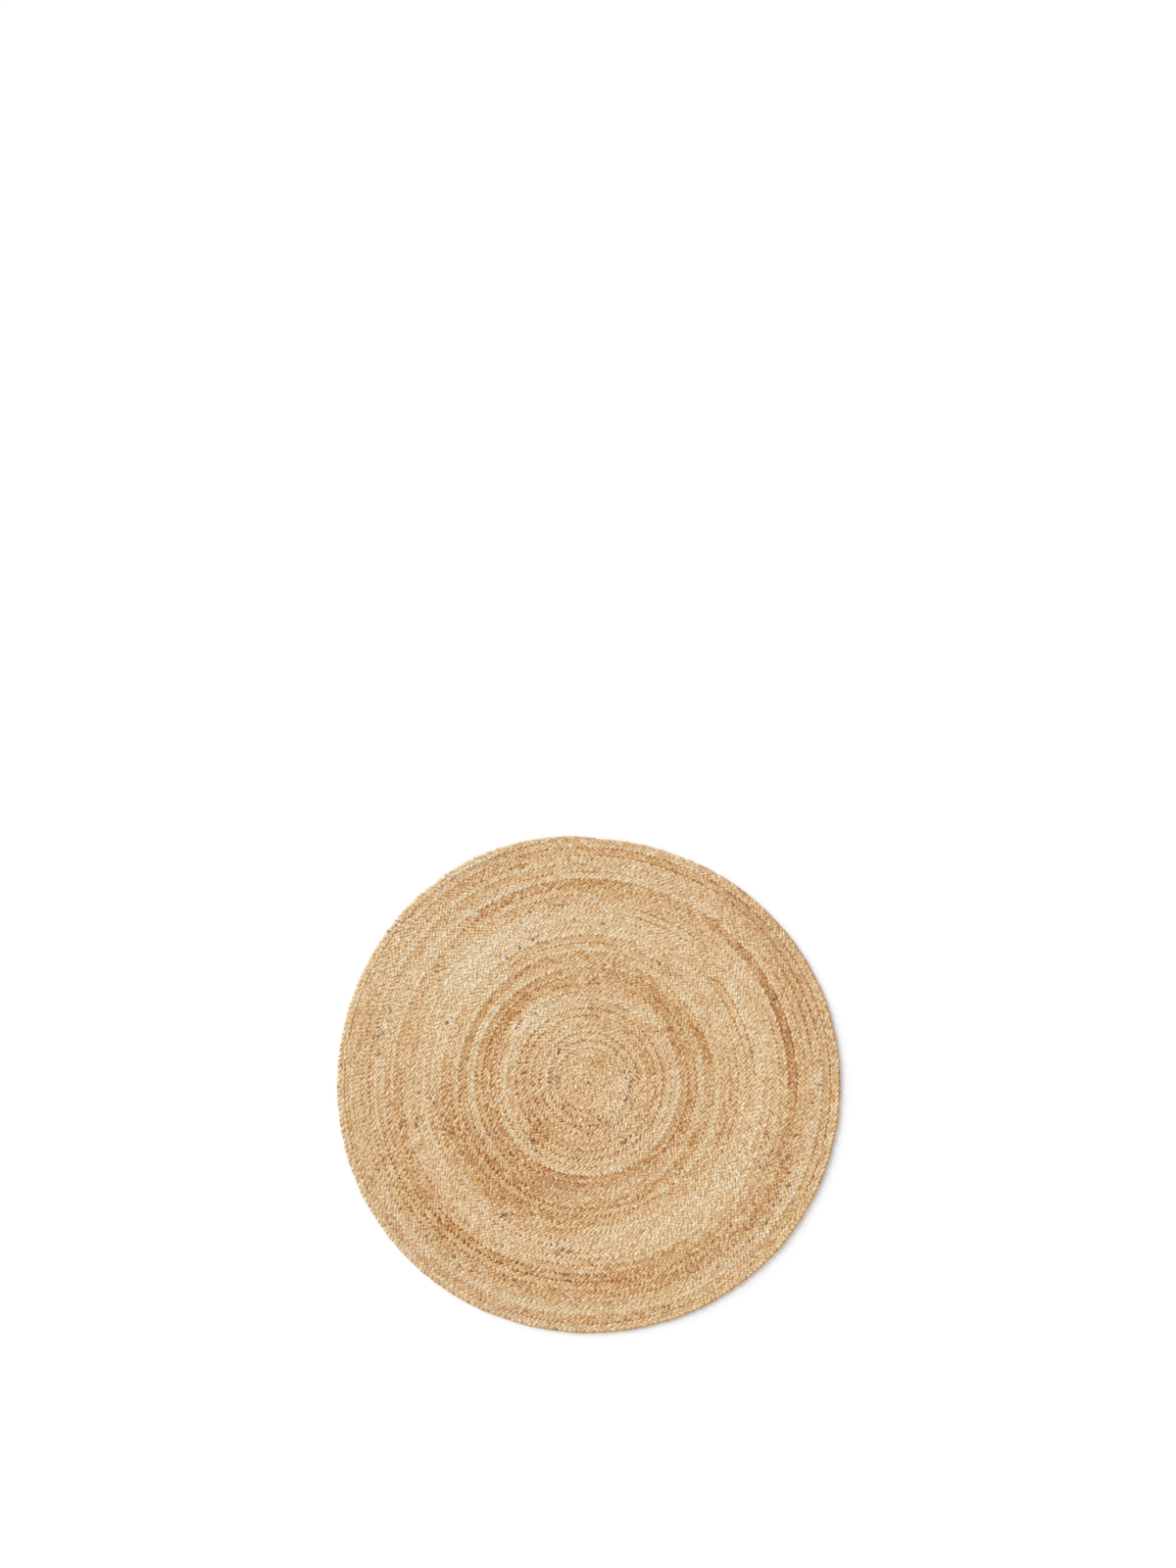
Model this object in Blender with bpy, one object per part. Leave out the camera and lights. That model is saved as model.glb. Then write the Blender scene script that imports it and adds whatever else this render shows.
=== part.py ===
"""Round braided jute rug, 1.2 m across.

One long flat plait of jute, made up of several lengths, is coiled clockwise from the
middle outwards. Seam threads in the grooves of the underside hold each turn to the one
inside it, and the tapered tail is whipped down to the rim with a few thread stitches.

The frame is in metres, +Z up. The rug lies on z = 0, with the origin under the centre
of its outline, and the plait ends near +Y.
"""

import math

import bmesh
import bpy
from mathutils import Vector

# Overall sizes.
DIAMETER = 1.2            # of the circle with the outline's area
THICKNESS = 0.009         # of the plait, and so of the rug

# The plait.
PLAIT_PITCH = 0.01966     # from one turn of the coil to the next
SHOULDER = 0.003          # how far the plait's edges round in, above and below
TURN_GAP = 0.0003         # between neighbouring turns
END_GAP = 0.0004          # between the ends of two lengths of plait
CORE_RADIUS = 0.001       # the eye of the coil
START_RADIUS = 0.008      # where the coil's outer side starts
LENGTH_ENDS = (0.335, 0.51, 0.68, 0.83, 0.955)   # where each length ends, in coil radii

# The outline's wander from a true round, as (waves round the coil, share of the
# radius, degrees). Inner turns are truer than the rim.
WANDER = ((1, 0.016, 48.0), (2, 0.0064, 19.0), (3, 0.0032, 28.0), (4, 0.0029, -131.0))

# The tail.
END_ANGLE = 88.0          # degrees anticlockwise from +X, where the plait ends
TAIL_LENGTH = 0.31        # over which the plait tapers to its end
TAIL_WIDTH = 0.0075       # of the plait at its very end
TAIL_THICKNESS = 0.0062   # of the plait at its very end

# The sewing.
SEAM_HEIGHT = 0.0022      # of the seam thread's underside above the floor
SEAM_GAP = 0.0003         # between the seam thread and the plait beside it
STITCH_COUNT = 5          # whip stitches over the tail
STITCH_DIAMETER = 0.0011
STITCH_SPACING = 0.030    # from one whip stitch to the next, along the rim
STITCH_GAP = 0.0004       # between a whip stitch and the plait
STITCH_REACH = 0.0014     # how deep a stitch dips into the groove behind the tail
STITCH_FOOT = 0.0016      # of a stitch's outer end above the floor

# Faceting.
CHORD_SAG = 0.004         # the most that a facet may cut inside its curve
FEWEST_FACETS = 12        # round the innermost turns
FULL_TURN = 2.0 * math.pi

JUTE = (
    (0.66, 0.45, 0.24), (0.63, 0.42, 0.22), (0.66, 0.46, 0.25),
    (0.61, 0.40, 0.21), (0.66, 0.45, 0.24), (0.58, 0.40, 0.23),
)
THREAD_COLOUR = (0.52, 0.36, 0.20)


def clear_scene():
    for thing in list(bpy.data.objects):
        bpy.data.objects.remove(thing, do_unlink=True)


def make_material(name, colour, roughness):
    material = bpy.data.materials.new(name)
    material.use_nodes = True
    shader = material.node_tree.nodes["Principled BSDF"]
    shader.inputs["Base Color"].default_value = (*colour, 1.0)
    shader.inputs["Roughness"].default_value = roughness
    shader.inputs["Metallic"].default_value = 0.0
    return material


class Coil:
    """The spiral that the plait's edges follow; angles grow clockwise from the start."""

    def __init__(self):
        self.rim = self.rim_radius()
        self.turns = self.rim / PLAIT_PITCH
        self.last = self.turns * FULL_TURN
        self.offset = math.radians(END_ANGLE) + self.last
        self.first = START_RADIUS / PLAIT_PITCH * FULL_TURN
        self.tail = self.last - TAIL_LENGTH / self.rim

    @staticmethod
    def rim_radius():
        """The last turn is a spiral, so its mean radius is half a pitch inside its end."""
        return DIAMETER / 2.0 + PLAIT_PITCH / 2.0

    def direction(self, angle):
        heading = self.offset - angle
        return Vector((math.cos(heading), math.sin(heading), 0.0))

    def edge(self, angle):
        """Radius of the line between a turn and the next one out."""
        radius = PLAIT_PITCH * angle / FULL_TURN
        if radius <= 0.0:
            return 0.0
        heading = self.offset - angle
        share = radius / self.rim
        wander = 0.0
        for waves, size, phase in WANDER:
            wander += size * math.cos(waves * heading + math.radians(phase))
        return radius * (1.0 + wander * share)

    def taper(self, angle):
        """0 on the full plait, rising to 1 at the tail's end."""
        along = (angle - self.tail) / (self.last - self.tail)
        return min(max(along, 0.0), 1.0)

    def sides(self, angle):
        """Inner and outer radius of the plait, its shoulder and its thickness."""
        inner = max(self.edge(angle - FULL_TURN), CORE_RADIUS) + TURN_GAP / 2.0
        full = self.edge(angle) - TURN_GAP / 2.0
        ease = self.taper(angle)
        outer = full + (inner + TAIL_WIDTH - full) * ease
        shoulder = min(SHOULDER, 0.3 * (outer - inner))
        height = THICKNESS + (TAIL_THICKNESS - THICKNESS) * ease
        return inner, outer, shoulder, height

    def facet(self, angle):
        """Angle of one facet: facets only ever double outwards, so turns stay parallel."""
        turns_in = int((self.last - angle) / FULL_TURN)
        radius = self.rim - turns_in * PLAIT_PITCH
        count = FEWEST_FACETS
        while radius * (1.0 - math.cos(math.pi / count)) > CHORD_SAG:
            count *= 2
        return FULL_TURN / count

    def corner(self, angle):
        """The facet corner nearest to an angle."""
        facet = self.facet(angle)
        return self.last - round((self.last - angle) / facet) * facet

    def stations(self, start, end):
        """Angles from start to end, with every facet corner of the coil between them."""
        inside = []
        angle = self.corner(end)
        while angle > start:
            if angle < end - 0.2 * self.facet(angle) and angle > start + 0.2 * self.facet(angle):
                inside.append(angle)
            angle -= self.facet(angle - 0.5 * self.facet(angle))
        return [start, *reversed(inside), end]

    def chord(self, angle):
        """Where a facet lies at an angle between its corners, in shares of the radius."""
        facet = self.facet(angle)
        from_corner = (self.last - angle) % facet
        return math.cos(facet / 2.0) / math.cos(from_corner - facet / 2.0)


def band_mesh(name, coil, angles, section):
    """Carry a closed section, given as (radius, height) points, along the coil."""
    mesh = bpy.data.meshes.new(name)
    work = bmesh.new()
    rings = []
    for angle in angles:
        outward = coil.direction(angle)
        ring = [work.verts.new(outward * radius + Vector((0.0, 0.0, height)))
                for radius, height in section(angle)]
        rings.append(ring)
    for ring, following in zip(rings, rings[1:]):
        for index, corner in enumerate(ring):
            after = (index + 1) % len(ring)
            work.faces.new((corner, following[index], following[after], ring[after]))
    work.faces.new(rings[0])
    work.faces.new(reversed(rings[-1]))
    bmesh.ops.recalc_face_normals(work, faces=work.faces)
    work.to_mesh(mesh)
    work.free()
    mesh.shade_smooth()
    mesh.set_sharp_from_angle(angle=math.radians(35.0))
    return mesh


def plait_section(coil):
    def section(angle):
        inner, outer, shoulder, height = coil.sides(angle)
        return [
            (inner, height / 2.0),
            (inner + shoulder, 0.0),
            (outer - shoulder, 0.0),
            (outer, height / 2.0),
            (outer - shoulder, height),
            (inner + shoulder, height),
        ]
    return section


def seam_section(coil):
    """A three-sided thread, its sides parallel to the groove that it lies in."""
    def section(angle):
        _, _, shoulder, height = coil.sides(angle)
        middle = coil.edge(angle - FULL_TURN)
        side_gap = SEAM_GAP * math.hypot(1.0, 2.0 * shoulder / height)
        opening = TURN_GAP / 2.0 + shoulder * (1.0 - 2.0 * SEAM_HEIGHT / height)
        half = opening - side_gap
        top = SEAM_HEIGHT + half * height / (2.0 * shoulder)
        return [(middle - half, SEAM_HEIGHT), (middle + half, SEAM_HEIGHT), (middle, top)]
    return section


def stitch_points(coil, angle):
    """A whip stitch: out of the groove behind the tail, over it and down its outside."""
    inner, outer, shoulder, height = coil.sides(angle)
    clear = STITCH_DIAMETER / 2.0 + STITCH_GAP
    groove = inner - TURN_GAP / 2.0
    slope = math.hypot(1.0, height / (2.0 * shoulder))
    side = clear / slope + shoulder * clear / (height / 2.0)
    return [
        (groove + 0.15 * shoulder, height + clear - STITCH_REACH),
        (groove + 0.45 * shoulder, height + clear - 0.35 * STITCH_REACH),
        (inner + 1.1 * shoulder, height + clear),
        (outer - shoulder, height + clear),
        (outer - 0.35 * shoulder + side, 0.80 * height + 0.5 * clear),
        (outer + clear, 0.5 * height),
        (outer + 0.85 * clear, STITCH_FOOT + STITCH_DIAMETER),
        (outer + 0.6 * clear, STITCH_FOOT),
    ]


def add_object(name, mesh, material, parent):
    thing = bpy.data.objects.new(name, mesh)
    mesh.materials.append(material)
    bpy.context.collection.objects.link(thing)
    thing.parent = parent
    return thing


def add_stitch(name, coil, angle, material, parent):
    outward = coil.direction(angle) * coil.chord(angle)
    points = [outward * radius + Vector((0.0, 0.0, height))
              for radius, height in stitch_points(coil, angle)]
    curve = bpy.data.curves.new(name, "CURVE")
    curve.dimensions = "3D"
    curve.bevel_depth = STITCH_DIAMETER / 2.0
    curve.bevel_resolution = 1
    curve.use_fill_caps = True
    spline = curve.splines.new("POLY")
    spline.points.add(len(points) - 1)
    for place, point in zip(spline.points, points):
        place.co = (*point, 1.0)
    return add_object(name, curve, material, parent)


def add_plait(coil, parent):
    """The lengths of plait, end to end from the eye of the coil to its tail."""
    ends = [coil.corner(coil.first)]
    ends += [coil.corner(share * coil.last) for share in LENGTH_ENDS]
    ends.append(coil.last)
    for number, (start, end) in enumerate(zip(ends, ends[1:]), 1):
        slit = END_GAP / 2.0
        if number > 1:
            start += slit / coil.edge(start)
        if number < len(ends) - 1:
            end -= slit / coil.edge(end)
        name = f"plait_length_{number}"
        material = make_material(f"jute_{number}", JUTE[number - 1], 0.85)
        mesh = band_mesh(name, coil, coil.stations(start, end), plait_section(coil))
        add_object(name, mesh, material, parent)
    return ends


def add_seams(coil, ends, parent):
    """One seam thread under each length of plait, in the groove on its inner side."""
    thread = make_material("seam_thread", THREAD_COLOUR, 0.8)
    full_width = (CORE_RADIUS + TURN_GAP + SHOULDER / 0.3) / PLAIT_PITCH * FULL_TURN
    first = coil.corner(coil.first + FULL_TURN + full_width)
    for number, (start, end) in enumerate(zip(ends, ends[1:]), 1):
        start = max(start, first)
        end = min(end, coil.corner(coil.tail))
        start += END_GAP / 2.0 / coil.edge(start)
        end -= END_GAP / 2.0 / coil.edge(end)
        name = f"seam_thread_{number}"
        mesh = band_mesh(name, coil, coil.stations(start, end), seam_section(coil))
        add_object(name, mesh, thread, parent)


def add_tail_stitches(coil, parent):
    thread = make_material("whipping_thread", THREAD_COLOUR, 0.8)
    for number in range(STITCH_COUNT):
        back = (number + 0.5) * STITCH_SPACING
        angle = coil.last - back / coil.rim
        add_stitch(f"tail_stitch_{number + 1}", coil, angle, thread, parent)


def centre_on_origin(rug):
    """Bring the middle of the outline's box over the origin."""
    bpy.context.view_layer.update()
    corners = [corner for thing in rug.children for corner in thing.bound_box]
    for axis in (0, 1):
        low = min(corner[axis] for corner in corners)
        high = max(corner[axis] for corner in corners)
        rug.location[axis] = -(low + high) / 2.0


def build():
    clear_scene()
    coil = Coil()
    rug = bpy.data.objects.new("rug", None)
    bpy.context.collection.objects.link(rug)
    ends = add_plait(coil, rug)
    add_seams(coil, ends, rug)
    add_tail_stitches(coil, rug)
    centre_on_origin(rug)


build()
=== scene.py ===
import math

import bpy
import numpy as np
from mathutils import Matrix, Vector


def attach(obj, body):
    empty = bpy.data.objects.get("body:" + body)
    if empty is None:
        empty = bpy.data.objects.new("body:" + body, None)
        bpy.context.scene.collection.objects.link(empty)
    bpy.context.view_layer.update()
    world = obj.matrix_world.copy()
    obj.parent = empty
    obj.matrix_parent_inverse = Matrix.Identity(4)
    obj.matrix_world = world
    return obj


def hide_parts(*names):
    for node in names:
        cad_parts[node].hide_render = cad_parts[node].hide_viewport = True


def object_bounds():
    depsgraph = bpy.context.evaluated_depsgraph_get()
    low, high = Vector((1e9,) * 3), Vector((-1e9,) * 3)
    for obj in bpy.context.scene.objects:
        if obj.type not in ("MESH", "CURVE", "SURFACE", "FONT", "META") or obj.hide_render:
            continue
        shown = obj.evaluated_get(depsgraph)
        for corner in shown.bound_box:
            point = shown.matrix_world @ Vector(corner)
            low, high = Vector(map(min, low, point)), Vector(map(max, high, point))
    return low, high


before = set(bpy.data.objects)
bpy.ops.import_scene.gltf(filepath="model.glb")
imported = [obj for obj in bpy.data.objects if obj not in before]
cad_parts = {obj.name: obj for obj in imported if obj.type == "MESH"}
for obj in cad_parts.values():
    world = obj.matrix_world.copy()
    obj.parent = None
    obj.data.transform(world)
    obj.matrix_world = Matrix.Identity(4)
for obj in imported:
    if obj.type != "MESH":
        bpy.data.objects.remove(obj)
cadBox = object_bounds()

fullTurn = 2.0 * math.pi
root = "root"
tiny = 1e-12                  # keeps a division away from zero

# The coil, with the driving values of the CAD model.
coil = {
    "diameter": 1.2,
    "pitch": 0.01966,          # from one turn to the next
    "gap": 0.0003,             # between neighbouring turns
    "core": 0.001,             # radius of the coil's eye
    "startRadius": 0.008,
    "lengthEnds": (0.335, 0.51, 0.68, 0.83, 0.955),   # in shares of the coil's turns
    "wander": ((1, 0.016, 48.0), (2, 0.0064, 19.0), (3, 0.0032, 28.0), (4, 0.0029, -131.0)),
    "endAngle": 88.0,          # degrees anticlockwise from +X
    "tailLength": 0.31,
    "tailWidth": 0.0075,
    "tailThickness": 0.0062,
    "thickness": float(cadBox[1][2] - cadBox[0][2]),
    "sampleStep": 0.0015,      # between samples of the middle line
    "outlineTurns": 1.2,       # at the rim that make up the outline
    "outlineSamples": 4000,
}
coil["rim"] = coil["diameter"] / 2.0 + coil["pitch"] / 2.0
coil["turns"] = coil["rim"] / coil["pitch"]
coil["firstTurn"] = coil["startRadius"] / coil["pitch"]
coil["tailTurn"] = coil["turns"] - coil["tailLength"] / coil["rim"] / fullTurn


def smoothNoise(places, spacing, seed, count=4096):
    # Random values -1 to 1 at even spacing along a line, joined by a smoothstep curve.
    values = np.random.default_rng(seed).uniform(-1.0, 1.0, count)
    at = np.asarray(places) / spacing
    low = np.floor(at).astype(int)
    blend = at - low
    blend = blend * blend * (3.0 - 2.0 * blend)
    return values[low % count] * (1.0 - blend) + values[(low + 1) % count] * blend


def layered(places, layers, number=0):
    # Sum of noises, each given as (amount, spacing, seed, 1 if every yarn has its own or 0 if not).
    return sum(amount * smoothNoise(places, spacing, seed + own * number)
               for amount, spacing, seed, own in layers)


def headingAt(turn):
    # Direction from the coil's eye: it turns clockwise, to the tail's end at endAngle.
    return math.radians(coil["endAngle"]) + (coil["turns"] - turn) * fullTurn


def edgeAt(turn):
    # Groove radius: a spiral, one pitch a turn, times one plus a few cosines of the heading.
    radius = np.maximum(coil["pitch"] * turn, 0.0)
    heading = headingAt(turn)
    wander = sum(size * np.cos(waves * heading + math.radians(phase))
                 for waves, size, phase in coil["wander"])
    return radius * (1.0 + wander * radius / coil["rim"])


def sidesAt(turn):
    # Inner and outer radius of the plait and its thickness, all easing in along the tail.
    inner = np.maximum(edgeAt(turn - 1.0), coil["core"]) + coil["gap"] / 2.0
    full = edgeAt(turn) - coil["gap"] / 2.0
    ease = np.clip((turn - coil["tailTurn"]) / (coil["turns"] - coil["tailTurn"]), 0.0, 1.0)
    outer = full + (inner + coil["tailWidth"] - full) * ease
    thick = coil["thickness"] + (coil["tailThickness"] - coil["thickness"]) * ease
    return inner, outer, thick


def outlineMiddle():
    # Middle of the box round the last turn, which stands over the frame's origin.
    turn = np.linspace(coil["turns"] - coil["outlineTurns"], coil["turns"], coil["outlineSamples"])
    outer = sidesAt(turn)[1]
    x = outer * np.cos(headingAt(turn))
    y = outer * np.sin(headingAt(turn))
    return (x.min() + x.max()) / 2.0, (y.min() + y.max()) / 2.0


class Track:
    # The plait's middle line, sampled finely, with everything known along its length.

    def __init__(self):
        count = int(math.pi * coil["rim"] ** 2 / coil["pitch"] / coil["sampleStep"])
        share = np.linspace(0.0, 1.0, count)
        first, last = coil["firstTurn"], coil["turns"]
        self.turn = np.sqrt(first ** 2 + share * (last ** 2 - first ** 2))
        inner, outer, self.thick = sidesAt(self.turn)
        self.middle = (inner + outer) / 2.0
        self.width = outer - inner
        self.offset = outlineMiddle()
        x, y = self.place(self.turn, self.middle)
        steps = np.hypot(np.diff(x), np.diff(y))
        self.length = np.concatenate([[0.0], np.cumsum(steps)])
        self.total = float(self.length[-1])

    def place(self, turn, radius):
        heading = headingAt(turn)
        x = radius * np.cos(heading) - self.offset[0]
        y = radius * np.sin(heading) - self.offset[1]
        return x, y

    def at(self, length, name):
        return np.interp(length, self.length, getattr(self, name))

    def lengthAt(self, turn):
        return float(np.interp(turn, self.turn, self.length))

    def point(self, length, across):
        # World x and y at a distance along the plait and a distance outwards from its middle.
        return self.place(self.at(length, "turn"), self.at(length, "middle") + across)


track = Track()
lengthEnds = [0.0]
lengthEnds += [track.lengthAt(share * coil["turns"]) for share in coil["lengthEnds"]]
lengthEnds.append(track.total)
print("coil laid out:", round(track.total, 2), "m of plait in", round(coil["turns"], 2), "turns")


bakeMap = {
    "pad": 0.08,              # share of a row left free on each side of a tube's strip
    "stretch": 1.25,          # width of a row for the girth of a tube
    "fill": 0.98,             # share of a ring's place that its strip takes
    "cap": 0.35,              # radius of a cap's round, in shares of its place
}


def stripMap(tubes, sides):
    # Bake map: the tubes' rings follow each other along rows, one row of rings above the other; u is
    # the ring's place in its row and v runs round the tube. The caps are small rounds in a last row.
    total = sum(len(tube["rings"]) for tube in tubes)
    length = sum(tube["along"][-1] for tube in tubes)
    outline = np.diff(tubes[0]["rings"][2], axis=0)
    girth = bakeMap["stretch"] * float(np.linalg.norm(outline, axis=1).sum())
    rows = max(int(math.sqrt(length / (girth + tiny))), 1)
    perRow = math.ceil(total / rows)
    rows = math.ceil(total / perRow)
    pad = bakeMap["pad"]
    side = np.arange(sides)
    edge = pad + (1.0 - 2.0 * pad) * np.stack([side, side, side + 1, side + 1], -1) / sides
    ring, u, v = 0, [], []
    for tube in tubes:
        index = ring + np.arange(len(tube["rings"]) - 1)
        row = index // perRow
        low = (index - row * perRow) / perRow
        high = low + bakeMap["fill"] / perRow
        shape = (len(index), sides)
        low = np.broadcast_to(low[:, None], shape)
        high = np.broadcast_to(high[:, None], shape)
        u.append(np.stack([low, high, high, low], -1).reshape(-1))
        v.append(((row[:, None, None] + edge[None]) / (rows + 1.0)).reshape(-1))
        ring += len(tube["rings"])
    caps = 2 * len(tubes)
    radius = bakeMap["cap"] * min(1.0 / (rows + 1.0), 1.0 / caps)
    angle = side / sides * fullTurn
    middle = (np.arange(caps) + 0.5) / caps
    u.append((middle[:, None] + radius * np.cos(angle)).reshape(-1))
    v.append(np.tile((rows + 0.5) / (rows + 1.0) + radius * np.sin(angle), caps))
    return np.stack([np.concatenate(u), np.concatenate(v)], -1)


def gridMesh(name, tubes, material):
    # One closed mesh of many tubes. A tube holds rings (count, sides, 3), the distance along it at
    # each ring, and values for each ring or each of its points. Quads join ring to ring.
    places, quads, caps, around, along = [], [], [], [], []
    values = {key: [] for key in tubes[0]["values"]}
    base = 0
    for tube in tubes:
        rings = tube["rings"]
        count, sides = rings.shape[:2]
        places.append(rings.reshape(-1, 3))
        index = base + np.arange(count * sides).reshape(count, sides)
        following = np.roll(index, -1, axis=1)
        quad = np.stack([index[:-1], index[1:], following[1:], following[:-1]], -1)
        quads.append(quad.reshape(-1, 4))
        caps.append(index[0])
        caps.append(index[-1][::-1])
        side = np.arange(sides)
        edge = np.stack([side, side, side + 1, side + 1], -1) / sides
        around.append(np.broadcast_to(edge, (count - 1, sides, 4)).reshape(-1))
        low = np.broadcast_to(tube["along"][:-1, None], (count - 1, sides))
        high = np.broadcast_to(tube["along"][1:, None], (count - 1, sides))
        along.append(np.stack([low, high, high, low], -1).reshape(-1))
        for key, value in tube["values"].items():
            everyPoint = np.broadcast_to(value.reshape(count, -1), (count, sides))
            values[key].append(everyPoint.reshape(-1))
        base += count * sides
    places = np.concatenate(places)
    quads = np.concatenate(quads)
    capSizes = [len(cap) for cap in caps]
    corners = np.concatenate([quads.reshape(-1), *caps])
    starts = np.concatenate([np.arange(len(quads)) * 4,
                             len(quads) * 4 + np.cumsum([0] + capSizes[:-1])])
    mesh = bpy.data.meshes.new(name)
    mesh.vertices.add(len(places))
    mesh.vertices.foreach_set("co", places.astype(np.float32).ravel())
    mesh.loops.add(len(corners))
    mesh.loops.foreach_set("vertex_index", corners.astype(np.int32))
    mesh.polygons.add(len(starts))
    mesh.polygons.foreach_set("loop_start", starts.astype(np.int32))
    mesh.update(calc_edges=True)
    mesh.polygons.foreach_set("use_smooth", np.ones(len(starts), dtype=bool))
    layer = mesh.uv_layers.new(name="yarn")
    uv = np.zeros((len(corners), 2), dtype=np.float32)
    uv[:len(quads) * 4, 0] = np.concatenate(along)
    uv[:len(quads) * 4, 1] = np.concatenate(around)
    layer.uv.foreach_set("vector", uv.ravel())
    layer = mesh.uv_layers.new(name="OFBake")
    layer.uv.foreach_set("vector", stripMap(tubes, sides).astype(np.float32).ravel())
    for key, parts in values.items():
        attribute = mesh.attributes.new(key, "FLOAT", "POINT")
        attribute.data.foreach_set("value", np.concatenate(parts).astype(np.float32))
    mesh.materials.append(material)
    mesh.validate()
    thing = bpy.data.objects.new(name, mesh)
    bpy.context.scene.collection.objects.link(thing)
    return thing


def tubeRings(path, halfWide, halfHigh, sides, turnBy=0.0, flat=1.0):
    # Ovals square to a path: across = tangent x up, high = across x tangent. A power below one
    # flattens the oval's top and underside.
    tangent = np.gradient(path, axis=0)
    tangent /= np.linalg.norm(tangent, axis=1, keepdims=True)
    across = np.cross(tangent, np.array([0.0, 0.0, 1.0]))
    across /= np.linalg.norm(across, axis=1, keepdims=True) + tiny
    high = np.cross(across, tangent)
    angle = np.arange(sides) / sides * fullTurn + turnBy
    wide = halfWide[:, None, None] * np.cos(angle)[None, :, None] * across[:, None, :]
    bulge = np.sign(np.sin(angle)) * np.abs(np.sin(angle)) ** flat
    tall = halfHigh[:, None, None] * bulge[None, :, None] * high[:, None, :]
    return path[:, None, :] + wide + tall


def distanceAlong(path):
    return np.concatenate([[0.0], np.cumsum(np.linalg.norm(np.diff(path, axis=0), axis=1))])


def evenTube(rings, along, tone, grey, paintedLight, seed):
    # A tube of plain fibre: its tone and greyness may change along it, and it has no bark.
    count = len(rings)
    values = {
        "tone": np.broadcast_to(tone, count),
        "grey": np.broadcast_to(grey, count),
        "bark": np.zeros(count),
        "seed": np.full(count, seed),
        "paintedLight": np.full(count, paintedLight),
    }
    return {"rings": rings, "along": along, "values": values}


class Wire:
    # A shader socket that Python's operators work on.

    def __init__(self, graph, socket):
        self.graph = graph
        self.socket = socket

    def maths(self, operation, *values, **settings):
        return self.graph.node("ShaderNodeMath", dict(operation=operation, **settings), *values)

    def __add__(self, other):
        return self.maths("ADD", self, other)

    def __radd__(self, other):
        return self.maths("ADD", other, self)

    def __sub__(self, other):
        return self.maths("SUBTRACT", self, other)

    def __rsub__(self, other):
        return self.maths("SUBTRACT", other, self)

    def __mul__(self, other):
        return self.maths("MULTIPLY", self, other)

    def __rmul__(self, other):
        return self.maths("MULTIPLY", other, self)

    def __pow__(self, other):
        return self.maths("POWER", self, other)

    def sine(self):
        return self.maths("SINE", self)

    def absolute(self):
        return self.maths("ABSOLUTE", self)

    def clamped(self):
        return self.maths("ADD", self, 0.0, use_clamp=True)


class Graph:
    # One material's nodes, made through a single method.

    def __init__(self, name):
        self.material = bpy.data.materials.new(name)
        self.material.use_nodes = True
        self.tree = self.material.node_tree
        self.shader = self.tree.nodes["Principled BSDF"]

    def connect(self, value, socket):
        if isinstance(value, Wire):
            self.tree.links.new(value.socket, socket)
        elif isinstance(value, tuple) and len(value) == 3 and socket.type == "RGBA":
            socket.default_value = (*value, 1.0)
        else:
            socket.default_value = value

    def node(self, kind, settings, *values, output=0, **named):
        made = self.tree.nodes.new(kind)
        for key, value in settings.items():
            setattr(made, key, value)
        for place, value in enumerate(values):
            if value is not None:
                self.connect(value, made.inputs[place])
        for key, value in named.items():
            self.connect(value, made.inputs[key])
        return Wire(self, made.outputs[output])

    def attribute(self, name):
        return self.node("ShaderNodeAttribute", {"attribute_name": name}, output="Fac")

    def mix(self, factor, first, second):
        made = self.tree.nodes.new("ShaderNodeMix")
        made.data_type = "RGBA"
        self.connect(factor, made.inputs[0])
        self.connect(first, made.inputs[6])
        self.connect(second, made.inputs[7])
        return Wire(self, made.outputs[2])

    def ramp(self, factor, stops):
        made = self.node("ShaderNodeValToRGB", {}, factor)
        scale = made.socket.node.color_ramp
        while len(scale.elements) < len(stops):
            scale.elements.new(1.0)
        for element, (position, colour) in zip(scale.elements, stops):
            element.position = position
            element.color = (*colour, 1.0)
        return made

    def set(self, **values):
        for key, value in values.items():
            self.connect(value, self.shader.inputs[key.replace("_", " ")])


# The fibre. Tone runs from ochre at 0 through straw to cream at 1.
jute = {
    "tones": (
        (0.00, (0.31, 0.098, 0.017)),
        (0.22, (0.505, 0.235, 0.066)),
        (0.45, (0.655, 0.420, 0.197)),
        (0.70, (0.740, 0.577, 0.360)),
        (1.00, (0.79, 0.755, 0.630)),
    ),
    "grey": (0.56, 0.46, 0.34),
    "bark": (0.15, 0.062, 0.022),
    "barkFrom": 0.45,         # strength of bark times streak at which a fleck begins
    "barkEdge": 12.0,         # how sharp a fleck's edge is
    "hollowShade": 0.23,           # painted shade: how much darker in tone the yarn is deep in the plait; painted highlight on its top
    "hollowFrom": 0.75,       # painted light share at which the tone is as given
    "streakSwing": 1.15,      # tone from the darkest fibre streak to the lightest
    "streak": 0.0055,         # length of one fibre streak
    "streakRound": 1.7,       # streaks round a yarn
    "fineSwing": 0.5,         # of the fine fibres, in shares of the streaks' swing
    "fineLength": 3.0,        # fine fibres to the length of a streak
    "fineRound": 6.0,
    "plyPitch": 0.030,        # a yarn's two plies go once round in this length
    "plyRoundness": 0.5,      # power that rounds the ridge of a ply
    "relief": 0.00040,        # depth of the groove between plies
    "plyRelief": 0.3,         # shares of the relief
    "streakRelief": 0.6,
    "fineRelief": 0.7,
    "roughness": 0.60,
    "roughSwing": 0.3,        # rougher between the streaks
    "specular": 0.40,
    "sheen": 0.15,
    "sheenRoughness": 0.5,
    "sheenTint": (1.0, 0.9, 0.7),
    "seedShift": (37.0, 11.0, 91.0),
}


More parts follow.
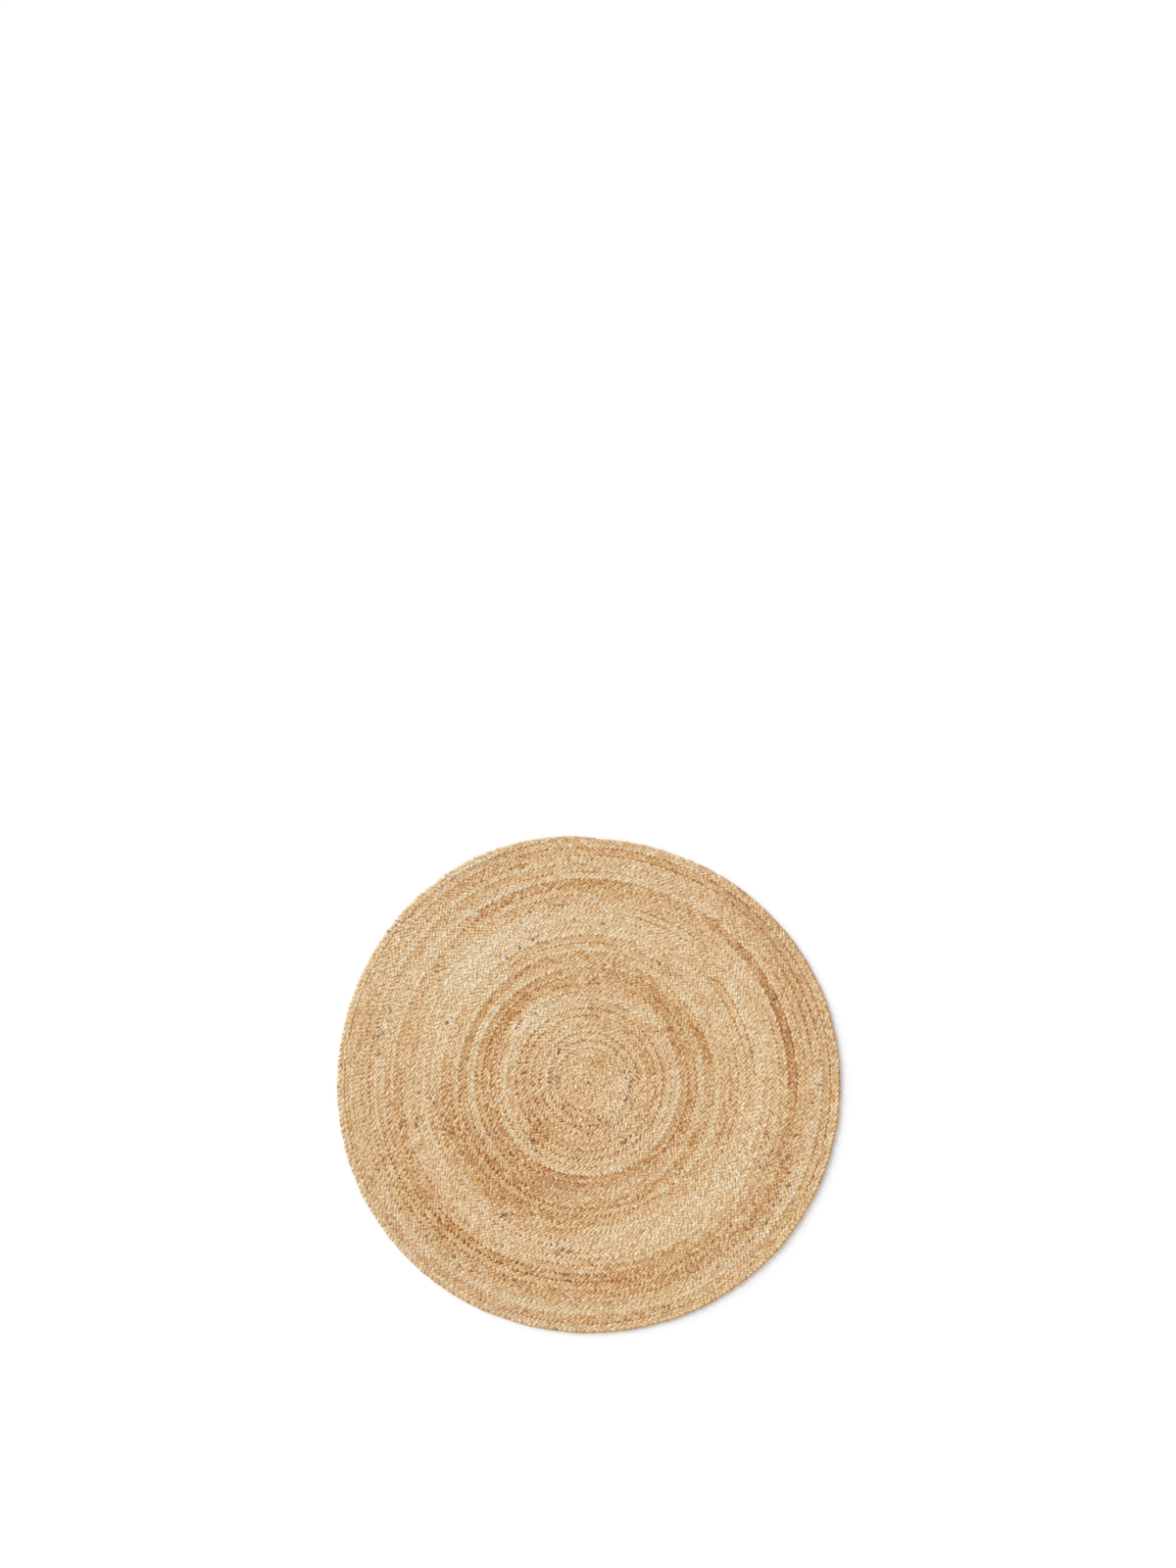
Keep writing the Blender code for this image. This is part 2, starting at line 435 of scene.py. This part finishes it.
def juteMaterial(name, lift=0.0, bleach=0.0):
    # Colour: the yarn's own tone, plus streaks drawn out along the yarn, plus painted light and
    # shade, lighter along its top and darker where the yarn lies deep in the plait; then greyed, and
    # flecked
    # with bark where a streak is strong. Bump: the rounded ridges of two plies going round the yarn,
    # plus the streaks.
    graph = Graph(name)
    uv = graph.node("ShaderNodeUVMap", {"uv_map": "yarn"})
    along = graph.node("ShaderNodeSeparateXYZ", {}, uv)
    around = Wire(graph, along.socket.node.outputs[1])
    seed = graph.attribute("seed")
    paintedLight = graph.attribute("paintedLight")
    spin = (around * fullTurn).sine()
    turnOver = (around * fullTurn + math.pi / 2.0).sine()
    shiftAlong, shiftRound, shiftFine = jute["seedShift"]
    place = graph.node("ShaderNodeCombineXYZ", {}, along * (1.0 / jute["streak"]) + seed * shiftAlong,
                       spin * jute["streakRound"] + seed * shiftRound, turnOver * jute["streakRound"])
    streak = graph.node("ShaderNodeTexNoise", {"noise_dimensions": "3D"}, place,
                        Scale=1.0, Detail=3.0, Roughness=0.6)
    fineAlong = along * (jute["fineLength"] / jute["streak"]) + seed * shiftFine
    place = graph.node("ShaderNodeCombineXYZ", {}, fineAlong,
                       spin * jute["fineRound"], turnOver * jute["fineRound"])
    fine = graph.node("ShaderNodeTexNoise", {"noise_dimensions": "3D"}, place,
                      Scale=1.0, Detail=2.0, Roughness=0.55)
    swing = jute["streakSwing"]
    shade = graph.attribute("tone") + (streak - 0.5) * swing
    shade = shade + (fine - 0.5) * (jute["fineSwing"] * swing)
    # Painted highlight along the yarn's top, painted shade at its sides and deep in the plait.
    shade = shade + (paintedLight - jute["hollowFrom"]) * jute["hollowShade"] + lift
    colour = graph.ramp(shade.clamped(), jute["tones"])
    colour = graph.mix((graph.attribute("grey") + bleach).clamped(), colour, jute["grey"])
    fleck = ((graph.attribute("bark") * streak - jute["barkFrom"]) * jute["barkEdge"]).clamped()
    colour = graph.mix(fleck, colour, jute["bark"])
    ply = ((around + along * (1.0 / jute["plyPitch"])) * fullTurn).sine().absolute()
    height = ply ** jute["plyRoundness"] * jute["plyRelief"]
    height = height + streak * jute["streakRelief"] + fine * jute["fineRelief"]
    normal = graph.node("ShaderNodeBump", {}, Strength=1.0, Distance=jute["relief"], Height=height)
    roughness = jute["roughness"] + (1.0 - streak) * jute["roughSwing"]
    graph.set(Base_Color=colour, Roughness=roughness, Normal=normal)
    graph.shader.inputs["Specular IOR Level"].default_value = jute["specular"]
    graph.shader.inputs["Sheen Weight"].default_value = jute["sheen"]
    graph.shader.inputs["Sheen Roughness"].default_value = jute["sheenRoughness"]
    graph.shader.inputs["Sheen Tint"].default_value = (*jute["sheenTint"], 1.0)
    return graph.material


plait = {
    "strands": 5,
    "stitch": 0.0114,         # from one V to the next; a strand goes over and back in five
    "halfWide": 0.0040,       # of a strand
    "halfHigh": 0.0025,
    "flat": 0.8,              # power that flattens a strand's top; 1 would be an oval
    "rise": 0.0014,           # of a strand's middle where it crosses over others
    "single": 0.58,           # share of over one, under one in the weave; the rest is over two
    "singleDrift": ((0.25, 0.30, 77, 0),),
    "corner": 0.95,           # how sharply a strand turns back: 1 is a pointed zigzag, 0 a sine
    "drift": ((1.8, 0.19, 5, 0), (0.40, 0.05, 6, 0), (0.22, 0.030, 20, 1), (0.09, 0.016, 30, 1)),
    "reach": 0.0032,          # how far a strand turns back past the plait's own side, on average
    "reachSwing": 0.0010,     # how much that changes along the plait
    "reachDrift": ((0.6, 0.05, 7, 0), (0.5, 0.015, 40, 1)),
    "rimReach": 0.3,          # share of the reach that is left on the last turn's outer side
    "wander": ((0.00045, 0.008, 100, 1), (0.0006, 0.07, 8, 0)),     # to either side
    "bob": ((0.00045, 0.010, 200, 1),),                              # up and down
    "plump": ((0.18, 0.012, 300, 1),),                               # of a strand's thickness
    "ringsPerStitch": 4,
    "sides": 8,
    "crestTone": 0.03,        # lighter on all of a strand
    "highlightPower": 3,          # how narrow the painted highlight along a strand's top is
    "highlightLoss": 0.3,         # share of the painted highlight lost where the strand dives
    "diveShade": 0.11,         # painted shade: darker where it dives under the others
    "grooveShade": 0.12,         # painted shade: darker along the sewn groove everywhere
    "grooveStretchShade": 0.40,         # and painted shade darker still beside some stretches of it
    "seamDrift": ((2.2, 0.30, 75, 0),),
    "seamFrom": 0.5,
    "seamPower": 12,          # how narrow the painted shade line is
    "endRounding": 0.006,     # length over which a strand's very end thins
    "endSize": 0.5,           # of a strand at its very end
    "tailTaper": 0.060,       # length over which the tail is tucked in
    "tuckShift": 0.30,        # how far it moves inwards, in plait widths
    "tuckNarrow": 0.45,       # how much narrower it gets
}

# Patches of tone: (turn, degrees clockwise from the tail, turns half wide, degrees half wide,
# lightness, greyness).
patches = (
    (24.3, 340.0, 0.55, 26.0, -0.30, 0.0),
    (25.0, 18.0, 0.55, 28.0, -0.30, 0.0),
    (25.7, 72.0, 0.60, 32.0, -0.34, 0.0),
    (26.0, 130.0, 0.60, 34.0, -0.34, 0.0),
    (25.8, 205.0, 1.30, 55.0, -0.24, 0.0),
    (24.8, 235.0, 0.80, 28.0, -0.16, 0.0),
    (24.2, 110.0, 0.60, 35.0, -0.08, 0.22),
    (23.8, 160.0, 1.10, 14.0, -0.14, 0.0),
    (18.3, 222.0, 1.60, 44.0, -0.22, 0.0),
    (15.9, 72.0, 0.60, 13.0, -0.32, 0.0),
    (15.8, 118.0, 0.50, 40.0, -0.14, 0.0),
    (15.2, 335.0, 0.60, 30.0, -0.28, 0.0),
    (15.5, 288.0, 0.50, 28.0, -0.20, 0.0),
    (15.8, 5.0, 0.60, 14.0, -0.16, 0.0),
    (14.8, 32.0, 1.30, 28.0, -0.20, 0.0),
    (14.5, 224.0, 1.70, 24.0, -0.26, 0.0),
    (14.0, 192.0, 1.20, 20.0, -0.16, 0.16),
    (12.9, 105.0, 0.55, 45.0, -0.20, 0.05),
    (12.9, 172.0, 0.60, 40.0, -0.20, 0.08),
    (12.8, 238.0, 0.50, 28.0, -0.14, 0.0),
    (12.9, 312.0, 0.60, 32.0, -0.20, 0.0),
    (12.3, 62.0, 0.50, 9.0, -0.28, 0.0),
    (10.2, 14.0, 0.50, 14.0, -0.16, 0.20),
    (8.4, 80.0, 0.90, 16.0, -0.14, 0.0),
    (8.2, 118.0, 0.60, 10.0, -0.18, 0.0),
    (7.8, 185.0, 0.80, 22.0, -0.18, 0.0),
    (7.9, 226.0, 0.80, 14.0, -0.26, 0.0),
    (9.3, 218.0, 0.50, 10.0, -0.18, 0.0),
    (6.2, 238.0, 0.80, 14.0, -0.18, 0.0),
    (5.0, 190.0, 0.90, 42.0, -0.15, 0.0),
    (4.0, 275.0, 0.60, 26.0, -0.24, 0.10),
    (5.2, 315.0, 0.50, 16.0, -0.12, 0.08),
    (5.0, 45.0, 0.60, 26.0, -0.16, 0.0),
    (3.6, 35.0, 0.60, 36.0, -0.10, 0.0),
    (6.4, 152.0, 0.50, 8.0, -0.22, 0.30),
    (2.3, 210.0, 0.60, 42.0, -0.08, 0.08),
    (17.3, 20.0, 0.80, 18.0, -0.14, 0.0),
    (20.8, 47.0, 1.20, 8.0, -0.14, 0.0),
    (18.0, 103.0, 1.20, 8.0, -0.13, 0.0),
    (21.0, 318.0, 4.20, 24.0, 0.11, 0.0),
    (19.0, 300.0, 3.50, 26.0, 0.07, 0.0),
    (28.4, 305.0, 1.30, 15.0, 0.16, 0.0),
    (27.6, 20.0, 1.20, 30.0, 0.10, 0.0),
    (10.9, 315.0, 0.90, 24.0, 0.15, 0.0),
    (8.4, 330.0, 1.30, 24.0, 0.14, 0.0),
    (11.3, 130.0, 1.20, 70.0, 0.04, 0.10),
    (29.7, 205.0, 0.90, 52.0, -0.14, 0.26),
    (29.4, 85.0, 0.80, 48.0, -0.08, 0.20),
    (28.8, 45.0, 1.00, 9.0, -0.18, 0.25),
    (28.8, 140.0, 0.60, 8.0, -0.14, 0.18),
    (29.4, 330.0, 0.60, 12.0, -0.10, 0.20),
    (28.2, 120.0, 0.90, 40.0, 0.0, 0.14),
    (28.2, 205.0, 0.80, 40.0, 0.0, 0.16),
    (21.0, 135.0, 1.20, 26.0, 0.02, 0.10),
)


def patchTone(turn):
    # Sum of the patches: a bell in turns times a flat-topped bell in degrees. A patch keeps to the
    # same turn of plait all along, so its turn number rises by a share of one with the angle.
    clockwise = (turn - coil["turns"]) % 1.0 * 360.0
    light = np.zeros_like(turn)
    grey = np.zeros_like(turn)
    for at, where, halfTurns, halfDegrees, lightness, greyness in patches:
        away = (clockwise - where + 180.0) % 360.0 - 180.0
        row = turn - coil["turns"] % 1.0 - (where + away) / 360.0 + 0.5
        bell = np.exp(-((row - at) / halfTurns) ** 4 - (away / halfDegrees) ** 4)
        light += lightness * bell
        grey += greyness * bell
    return light, grey


def tailTuck(length, narrowing):
    # Width of the plait and its middle's shift. Both ease in over the last stretch of the tail.
    ease = np.clip(1.0 - (track.total - length) / plait["tailTaper"], 0.0, 1.0)
    tucked = ease * ease * (3.0 - 2.0 * ease)
    width = track.at(length, "width")
    return width * (1.0 - narrowing * tucked), -plait["tuckShift"] * tucked * width


yarn = {
    "tone": 0.63,
    "toneDrift": ((0.085, 0.8, 400, 0), (0.05, 0.23, 410, 1), (0.12, 0.012, 500, 1),
                  (0.17, 0.005, 520, 1)),
    "take": 0.60,             # of a patch's tone by a yarn
    "takeDrift": ((0.45, 0.03, 420, 1), (0.2, 0.6, 430, 0)),
    "grey": 0.03,
    "greyDrift": ((0.06, 0.6, 600, 0), (0.14, 0.02, 700, 1)),
    "busyDrift": ((1.6, 0.12, 800, 0),),     # stretches of plait with many flecks
    "busyFrom": 0.7,
    "barkDrift": ((1.0, 0.011, 900, 1),),
    "barkFrom": 0.96,
    "barkBusy": 0.55,         # how much sooner a fleck comes in a busy stretch
    "barkEdge": 0.06,
    "seedStep": 0.37,
}


def yarnTones(length, strand):
    # The tone of a yarn along its length: the patch it lies in, stronger in some strands than in
    # others, plus slow drifts and a change from stitch to stitch.
    light, patchGrey = patchTone(track.at(length, "turn"))
    take = yarn["take"] + layered(length, yarn["takeDrift"], strand)
    tone = yarn["tone"] + light * take + layered(length, yarn["toneDrift"], strand)
    grey = yarn["grey"] + patchGrey * take + layered(length, yarn["greyDrift"], strand)
    busy = np.clip(layered(length, yarn["busyDrift"]) - yarn["busyFrom"], 0.0, 1.0)
    bark = layered(length, yarn["barkDrift"], strand) - yarn["barkFrom"] + yarn["barkBusy"] * busy
    bark = np.clip(bark / yarn["barkEdge"], 0.0, 1.0)
    return {"tone": tone, "grey": grey, "bark": bark,
            "seed": np.full(len(length), yarn["seedStep"] * strand)}


def strandWave(length, strand):
    # Where a strand is on its way over and back, and its height from -1, on top, to 1: minus the
    # sine of four times the wave is over one, under one, and the sine of twice it is over two.
    phase = fullTurn * length / (plait["strands"] * plait["stitch"])
    phase = phase + fullTurn * strand / plait["strands"] + layered(length, plait["drift"], strand)
    single = plait["single"] + layered(length, plait["singleDrift"])
    depth = (1.0 - single) * np.sin(2.0 * phase) - single * np.sin(4.0 * phase)
    return phase, depth


def strandAcross(length, strand, phase):
    # Swing x a rounded zigzag, the arc sine of (corner x sine of the wave), plus its wander.
    width, shift = tailTuck(length, plait["tuckNarrow"])
    slim = width / (coil["pitch"] - coil["gap"])
    inside = np.clip(coil["turns"] - track.at(length, "turn"), plait["rimReach"], 1.0)
    vary = layered(length, plait["reachDrift"], strand)
    reach = inside * (plait["reach"] + plait["reachSwing"] * vary)
    swing = width / 2.0 - slim * plait["halfWide"] + reach
    zigzag = np.arcsin(plait["corner"] * np.sin(phase)) / math.asin(plait["corner"])
    return slim, swing * zigzag + layered(length, plait["wander"], strand) + shift


def strandTube(start, end, strand):
    # A strand is an oval tube along its wave, with a painted highlight on its top and painted
    # shade where it dives and beside the sewn groove.
    step = plait["stitch"] / plait["ringsPerStitch"]
    last = min(end, track.total - step)
    length = np.arange(math.ceil(start / step), math.ceil(last / step) + 1) * step
    thick = track.at(length, "thick") / coil["thickness"]
    phase, depth = strandWave(length, strand)
    slim, across = strandAcross(length, strand, phase)
    x, y = track.point(length, across)
    z = thick * (coil["thickness"] / 2.0 - plait["rise"] * depth)
    z = z + layered(length, plait["bob"], strand)
    ends = np.minimum(length - lengthEnds[0], lengthEnds[-1] - length) / plait["endRounding"]
    plump = 1.0 + layered(length, plait["plump"], strand)
    plump = plump * (plait["endSize"] + (1.0 - plait["endSize"]) * np.clip(ends, 0.0, 1.0))
    path = np.stack([x, y, z], -1)
    rings = tubeRings(path, plait["halfWide"] * slim * plump, plait["halfHigh"] * thick * plump,
                      plait["sides"], flat=plait["flat"])
    rings[..., 2] = np.clip(rings[..., 2], 0.0, coil["thickness"])
    values = yarnTones(length, strand)
    # Painted shade where the strand dives under the others.
    dive = 1.0 - np.abs(depth)
    values["tone"] += plait["crestTone"] - plait["diveShade"] * dive
    # Painted shade beside the sewn groove between turns, darker in some stretches.
    shadedStretch = np.clip(layered(length, plait["seamDrift"]) - plait["seamFrom"], 0.0, 1.0)
    beside = np.abs(np.sin(phase)) ** plait["seamPower"]
    values["tone"] -= (plait["grooveShade"] + plait["grooveStretchShade"] * shadedStretch) * beside
    # Painted highlight along the strand's top, fading at its sides and where it dives.
    side = np.arange(plait["sides"]) / plait["sides"] * fullTurn
    ridge = np.abs(np.sin(side)) ** plait["highlightPower"]
    values["paintedLight"] = ridge[None, :] * (1.0 - plait["highlightLoss"] * dive[:, None])
    return {"rings": rings, "along": distanceAlong(path), "values": values}


def makeStrands(material):
    for number, (start, end) in enumerate(zip(lengthEnds, lengthEnds[1:]), 1):
        for strand in range(plait["strands"]):
            tube = strandTube(start, end, strand)
            piece = gridMesh(f"strand_{number}{'abcde'[strand]}", [tube], material)
            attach(piece, root)
            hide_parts(f"plait_length_{number}")
        print("plait length", number, "made:", round(end - start, 2), "m,",
              plait["strands"] * len(piece.data.polygons), "faces")


shadedPacking = {
    "share": 0.97,            # of the plait's width
    "rimShare": 0.80,         # the same on the last turn, whose outer side is seen
    "halfHigh": 0.0012,
    "bob": ((0.0002, 0.013, 71, 0),),
    "endShort": 0.004,        # left free at the tail's very end
    "tuckNarrow": 0.55,
    "step": 0.006,
    "sides": 8,
    "flat": 0.6,
    # dark ochre: painted shade in the openings between the strands
    "tone": 0.15,
    "toneDrift": ((0.15, 0.03, 72, 0),),
    "grey": 0.02,
    "paintedLight": 0.75,
    "seed": 5.3,
}


def makePacking(material):
    # The fibre pressed together inside the plait: a flat oval band along its middle line, which
    # closes the small openings between the strands. Its dark tone is painted shade in them.
    for number, (start, end) in enumerate(zip(lengthEnds, lengthEnds[1:]), 1):
        last = min(end, track.total - shadedPacking["endShort"])
        length = np.linspace(start, last, int((end - start) / shadedPacking["step"]))
        inside = np.clip(coil["turns"] - track.at(length, "turn"), 0.0, 1.0)
        share = shadedPacking["rimShare"] + (shadedPacking["share"] - shadedPacking["rimShare"]) * inside
        width, shift = tailTuck(length, shadedPacking["tuckNarrow"])
        thick = track.at(length, "thick") / coil["thickness"]
        x, y = track.point(length, shift)
        z = thick * coil["thickness"] / 2.0 + layered(length, shadedPacking["bob"])
        path = np.stack([x, y, z], -1)
        rings = tubeRings(path, width * share / 2.0, shadedPacking["halfHigh"] * thick, shadedPacking["sides"],
                          math.pi / shadedPacking["sides"], shadedPacking["flat"])
        tone = shadedPacking["tone"] + layered(length, shadedPacking["toneDrift"])
        tube = evenTube(rings, distanceAlong(path), tone, shadedPacking["grey"], shadedPacking["paintedLight"],
                        shadedPacking["seed"] + number)
        piece = gridMesh(f"packing_{number}", [tube], material)
        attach(piece, root)
        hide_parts(f"plait_length_{number}")
    print("plait packed")


tuft = {
    "reach": 0.0045,          # half the length of the arch
    "slant": 0.4,             # of the arch, as a slope
    "halfWide": 0.0021,
    "halfHigh": 0.0022,
    "endSlim": 0.35,          # how much thinner its ends are
    "top": 0.0062,
    "drop": 0.0022,           # from its middle to its ends
    "rings": 9,
    "tone": 0.62,
    "endShade": 0.25,          # painted shade: darker at its ends, where they sink into the plait
    "grey": 0.05,
    "paintedLight": 0.8,
    "seed": 2.9,
}


def makeTuft(material):
    # The start of the plait tucked through the eye: a short arch over it, high in the middle. Its
    # height, thickness and tone all fall off with the square of the distance from the middle; the
    # fall in tone is painted shade where its ends sink into the plait.
    share = np.linspace(-1.0, 1.0, tuft["rings"])
    eyeX, eyeY = track.place(0.0, 0.0)
    x = eyeX + tuft["reach"] * share
    y = eyeY + tuft["slant"] * tuft["reach"] * share
    z = tuft["top"] - tuft["drop"] * share ** 2
    path = np.stack([x, y, z], -1)
    size = 1.0 - tuft["endSlim"] * share ** 2
    rings = tubeRings(path, tuft["halfWide"] * size, tuft["halfHigh"] * size, plait["sides"])
    tone = tuft["tone"] - tuft["endShade"] * share ** 2
    tube = evenTube(rings, distanceAlong(path), tone, tuft["grey"], tuft["paintedLight"], tuft["seed"])
    piece = gridMesh("eye_tuft", [tube], material)
    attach(piece, root)
    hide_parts("plait_length_1")
    print("eye tucked in")


seam = {
    "height": 0.0014,         # of the twine's middle over the floor
    "bob": 0.0004,            # higher where it crosses the groove
    "radius": 0.00055,
    "reach": 0.0030,          # to each side of the groove
    "period": 0.024,
    "unevenDrift": ((0.9, 0.06, 61, 0),),
    "wander": ((0.0003, 0.011, 62, 0),),
    "ringsPerPeriod": 6,
    "sides": 5,
    "startTurn": 1.0,         # past the eye, where there is no groove yet
    "endGap": 0.006,          # between the twines of two lengths of plait, on each side
    "tone": 0.34,
    "toneDrift": ((0.12, 0.02, 63, 0),),
    "grey": 0.16,
    "greyDrift": ((0.10, 0.05, 64, 0),),
    "paintedLight": 0.7,
    "seed": 3.1,
}


def makeSeams(material):
    # Twine laced along the groove on the underside: across = reach x sine, height = middle plus a
    # little where it crosses the groove.
    for number, (start, end) in enumerate(zip(lengthEnds, lengthEnds[1:]), 1):
        begin = max(start, track.lengthAt(coil["firstTurn"] + seam["startTurn"])) + seam["endGap"]
        step = seam["period"] / seam["ringsPerPeriod"]
        length = np.arange(begin, end - seam["endGap"], step)
        turn = track.at(length, "turn")
        phase = fullTurn * length / seam["period"] + layered(length, seam["unevenDrift"])
        radius = edgeAt(turn - 1.0) + seam["reach"] * np.sin(phase) + layered(length, seam["wander"])
        x, y = track.place(turn, radius)
        z = seam["height"] + seam["bob"] * np.cos(2.0 * phase)
        path = np.stack([x, y, z], -1)
        thin = np.full(len(length), seam["radius"])
        tone = seam["tone"] + layered(length, seam["toneDrift"])
        grey = seam["grey"] + layered(length, seam["greyDrift"])
        tube = evenTube(tubeRings(path, thin, thin, seam["sides"]), distanceAlong(path), tone, grey,
                        seam["paintedLight"], seam["seed"] + number)
        piece = gridMesh(f"seam_twine_{number}", [tube], material)
        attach(piece, root)
        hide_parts(f"seam_thread_{number}")
    print("seam twine laced")


whipping = {
    "count": 5,
    "spacing": 0.030,
    "fromEnd": 0.016,         # of the last loop, along the plait
    "radius": 0.00050,        # of one ply
    "plyOffset": 0.00042,     # of a ply's middle from the thread's
    "stand": 0.0006,          # of the thread over the plait
    "sink": 0.0005,           # of its top into the plait's fibre
    "lean": 0.0035,           # of a loop along the plait, from its middle to each side
    "overlap": 0.12,          # how far its ends go past a half turn, in half turns
    "floorGap": 2.1,          # of the thread's middle over the floor, in ply radii
    "twist": 0.0042,          # in which the two plies go once round each other
    "rings": 44,
    "sides": 6,
    "tone": 0.40,
    "toneDrift": ((0.10, 0.006, 81, 1),),
    "grey": 0.15,
    "paintedLight": 0.75,
    "seed": 7.1,
}


def loopPath(back):
    # Out of the groove, over the top and down the outer side: a half oval round the plait, which
    # leans along it.
    length = np.full(whipping["rings"], track.total - back)
    width, shift = tailTuck(length, plait["tuckNarrow"])
    thick = track.at(length, "thick")
    angle = np.linspace(-whipping["overlap"], 1.0 + whipping["overlap"], whipping["rings"]) * math.pi
    across = shift - np.cos(angle) * (width / 2.0 + whipping["stand"])
    x, y = track.point(length + whipping["lean"] * np.cos(angle), across)
    z = thick / 2.0 + np.sin(angle) * (thick / 2.0 + whipping["stand"] - whipping["sink"])
    return np.stack([x, y, np.maximum(z, whipping["radius"] * whipping["floorGap"])], -1)


def makeWhipping(material):
    # Two-ply thread in loops over the tail: the plies are two tubes in a helix about each loop.
    for number in range(1, whipping["count"] + 1):
        path = loopPath(whipping["fromEnd"] + (whipping["count"] - number) * whipping["spacing"])
        run = distanceAlong(path)
        tangent = np.gradient(path, axis=0)
        sideways = np.cross(tangent, np.array([0.0, 0.0, 1.0]))
        sideways /= np.linalg.norm(sideways, axis=1, keepdims=True) + tiny
        upward = np.cross(sideways, tangent)
        upward /= np.linalg.norm(upward, axis=1, keepdims=True) + tiny
        thin = np.full(len(run), whipping["radius"])
        tone = whipping["tone"] + layered(run, whipping["toneDrift"], number)
        tubes = []
        for ply in (0.0, math.pi):
            turn = run / whipping["twist"] * fullTurn + ply
            coiled = np.cos(turn)[:, None] * sideways + np.sin(turn)[:, None] * upward
            wound = path + whipping["plyOffset"] * coiled
            wound[:, 2] = np.maximum(wound[:, 2], whipping["radius"])
            rings = tubeRings(wound, thin, thin, whipping["sides"])
            tubes.append(evenTube(rings, run, tone, whipping["grey"], whipping["paintedLight"],
                                  whipping["seed"] + number + ply))
        piece = gridMesh(f"tail_thread_{number}", tubes, material)
        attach(piece, root)
        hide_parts(f"tail_stitch_{number}")
    print("tail whipped")


twine = {"lift": 0.02, "bleach": 0.05}    # of the sewing twine against the plait's fibre

juteFibre = juteMaterial("jute")
makeStrands(juteFibre)
makePacking(juteFibre)
makeTuft(juteFibre)
makeSeams(juteMaterial("twine", twine["lift"], twine["bleach"]))
makeWhipping(juteMaterial("whipping", twine["lift"], twine["bleach"]))


view = {
    "partSize": 0.0023507,    # metres of rug to one part in 1200 of the frame's width
    "frameHeight": 1600,      # in the same parts
    "aim": (-0.0012, 0.7193),
    "lens": 110.0,
    "sensor": 36.0,
    "far": 100.0,
}


def makeCamera():
    tall = view["partSize"] * view["frameHeight"]
    data = bpy.data.cameras.new("camera")
    data.lens = view["lens"]
    data.sensor_fit = "VERTICAL"
    data.sensor_height = view["sensor"]
    data.clip_end = view["far"]
    camera = bpy.data.objects.new("camera", data)
    camera.location = (*view["aim"], tall * view["lens"] / view["sensor"])
    bpy.context.scene.collection.objects.link(camera)
    bpy.context.scene.camera = camera


studio = {
    "floorHalf": 12.0,
    "floorDrop": 0.0002,      # under the rug
    "floorColour": (0.95, 0.95, 0.95),
    "floorRoughness": 0.9,
    "sunPower": 3.10,
    "sunAngle": 39.0,         # across the sun's disc, for a soft shadow
    "sunTilt": -65.0,         # from straight down, so the sun stands 25 degrees up
    "sunTurn": -33.0,
    "skyPower": 0.66,
}


def makeFloor():
    mesh = bpy.data.meshes.new("floor")
    half = studio["floorHalf"]
    mesh.from_pydata([(-half, -half, 0), (half, -half, 0), (half, half, 0), (-half, half, 0)],
                     [], [(0, 1, 2, 3)])
    graph = Graph("floor")
    graph.set(Base_Color=studio["floorColour"], Roughness=studio["floorRoughness"])
    graph.shader.inputs["Specular IOR Level"].default_value = 0.0
    mesh.materials.append(graph.material)
    floor = bpy.data.objects.new("floor", mesh)
    floor.location.z = -studio["floorDrop"]
    bpy.context.scene.collection.objects.link(floor)


def makeLights():
    sun = bpy.data.lights.new("key", "SUN")
    sun.energy = studio["sunPower"]
    sun.angle = math.radians(studio["sunAngle"])
    lamp = bpy.data.objects.new("key", sun)
    lamp.rotation_euler = (0.0, math.radians(studio["sunTilt"]), math.radians(studio["sunTurn"]))
    bpy.context.scene.collection.objects.link(lamp)
    world = bpy.data.worlds.new("studio")
    world.use_nodes = True
    background = world.node_tree.nodes["Background"]
    background.inputs["Color"].default_value = (1.0, 1.0, 1.0, 1.0)
    background.inputs["Strength"].default_value = studio["skyPower"]
    bpy.context.scene.world = world


makeCamera()
makeFloor()
makeLights()
bpy.context.scene.view_settings.view_transform = "Standard"
print("stage set")
